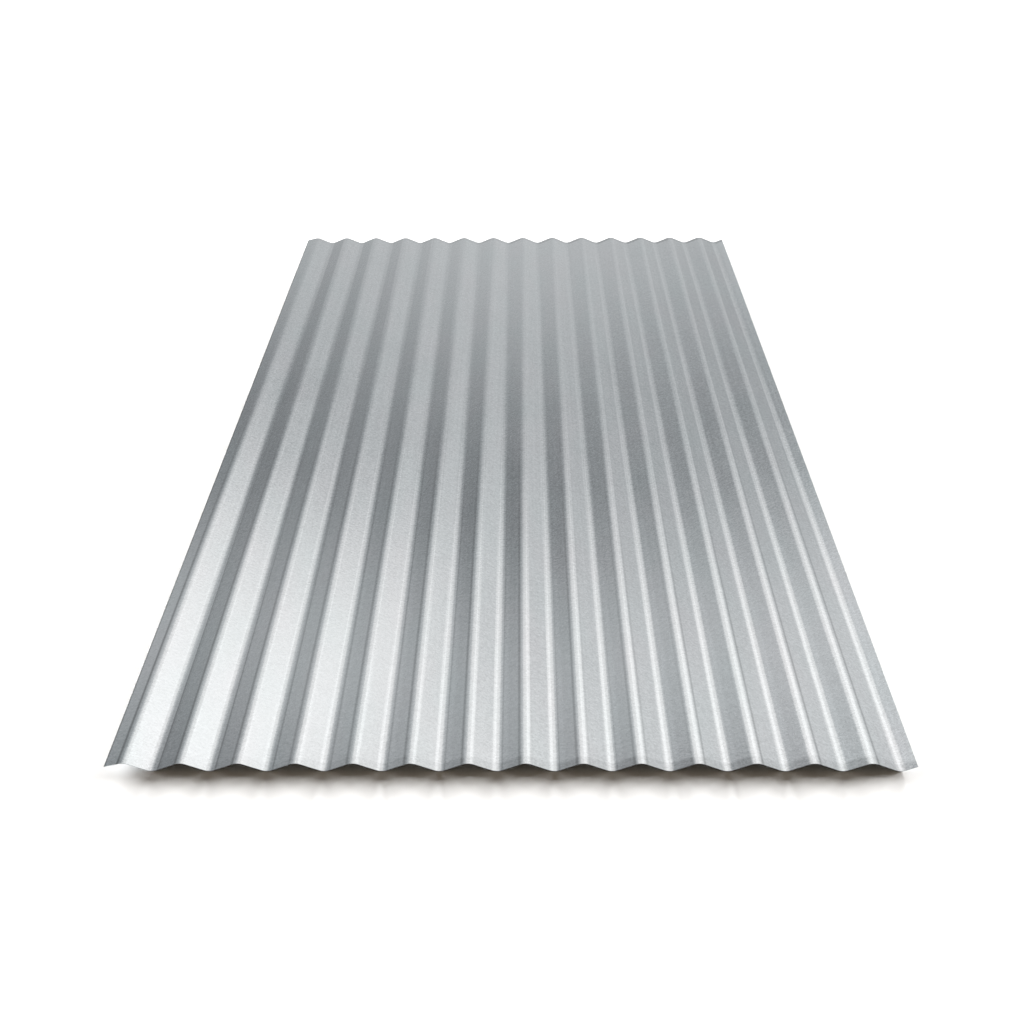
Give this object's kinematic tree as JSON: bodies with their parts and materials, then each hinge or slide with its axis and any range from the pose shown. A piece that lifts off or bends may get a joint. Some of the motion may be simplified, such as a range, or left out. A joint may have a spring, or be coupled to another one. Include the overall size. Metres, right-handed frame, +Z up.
{
  "type": "corrugated metal sheet",
  "caption": "Rectangular galvanised steel sheet roll-formed into round waves along its length, with one long edge turned down and the other turned up for side laps.",
  "frame": {"origin": "middle of the sheet's footprint, on the plane that the undersides of the troughs rest on", "axes": "+X across the waves towards the turned-up underlap edge, +Y along the waves, +Z up from the floor"},
  "size_m": [0.9552, 1.829, 0.0119],
  "materials": {
    "galvanised_steel": "hot-dip galvanised and skin-passed: satin zinc with a fine flattened spangle and a faint rolling grain"
  },
  "bodies": {
    "root": {"corrugated_sheet": "galvanised_steel"}
  },
  "joints": []
}
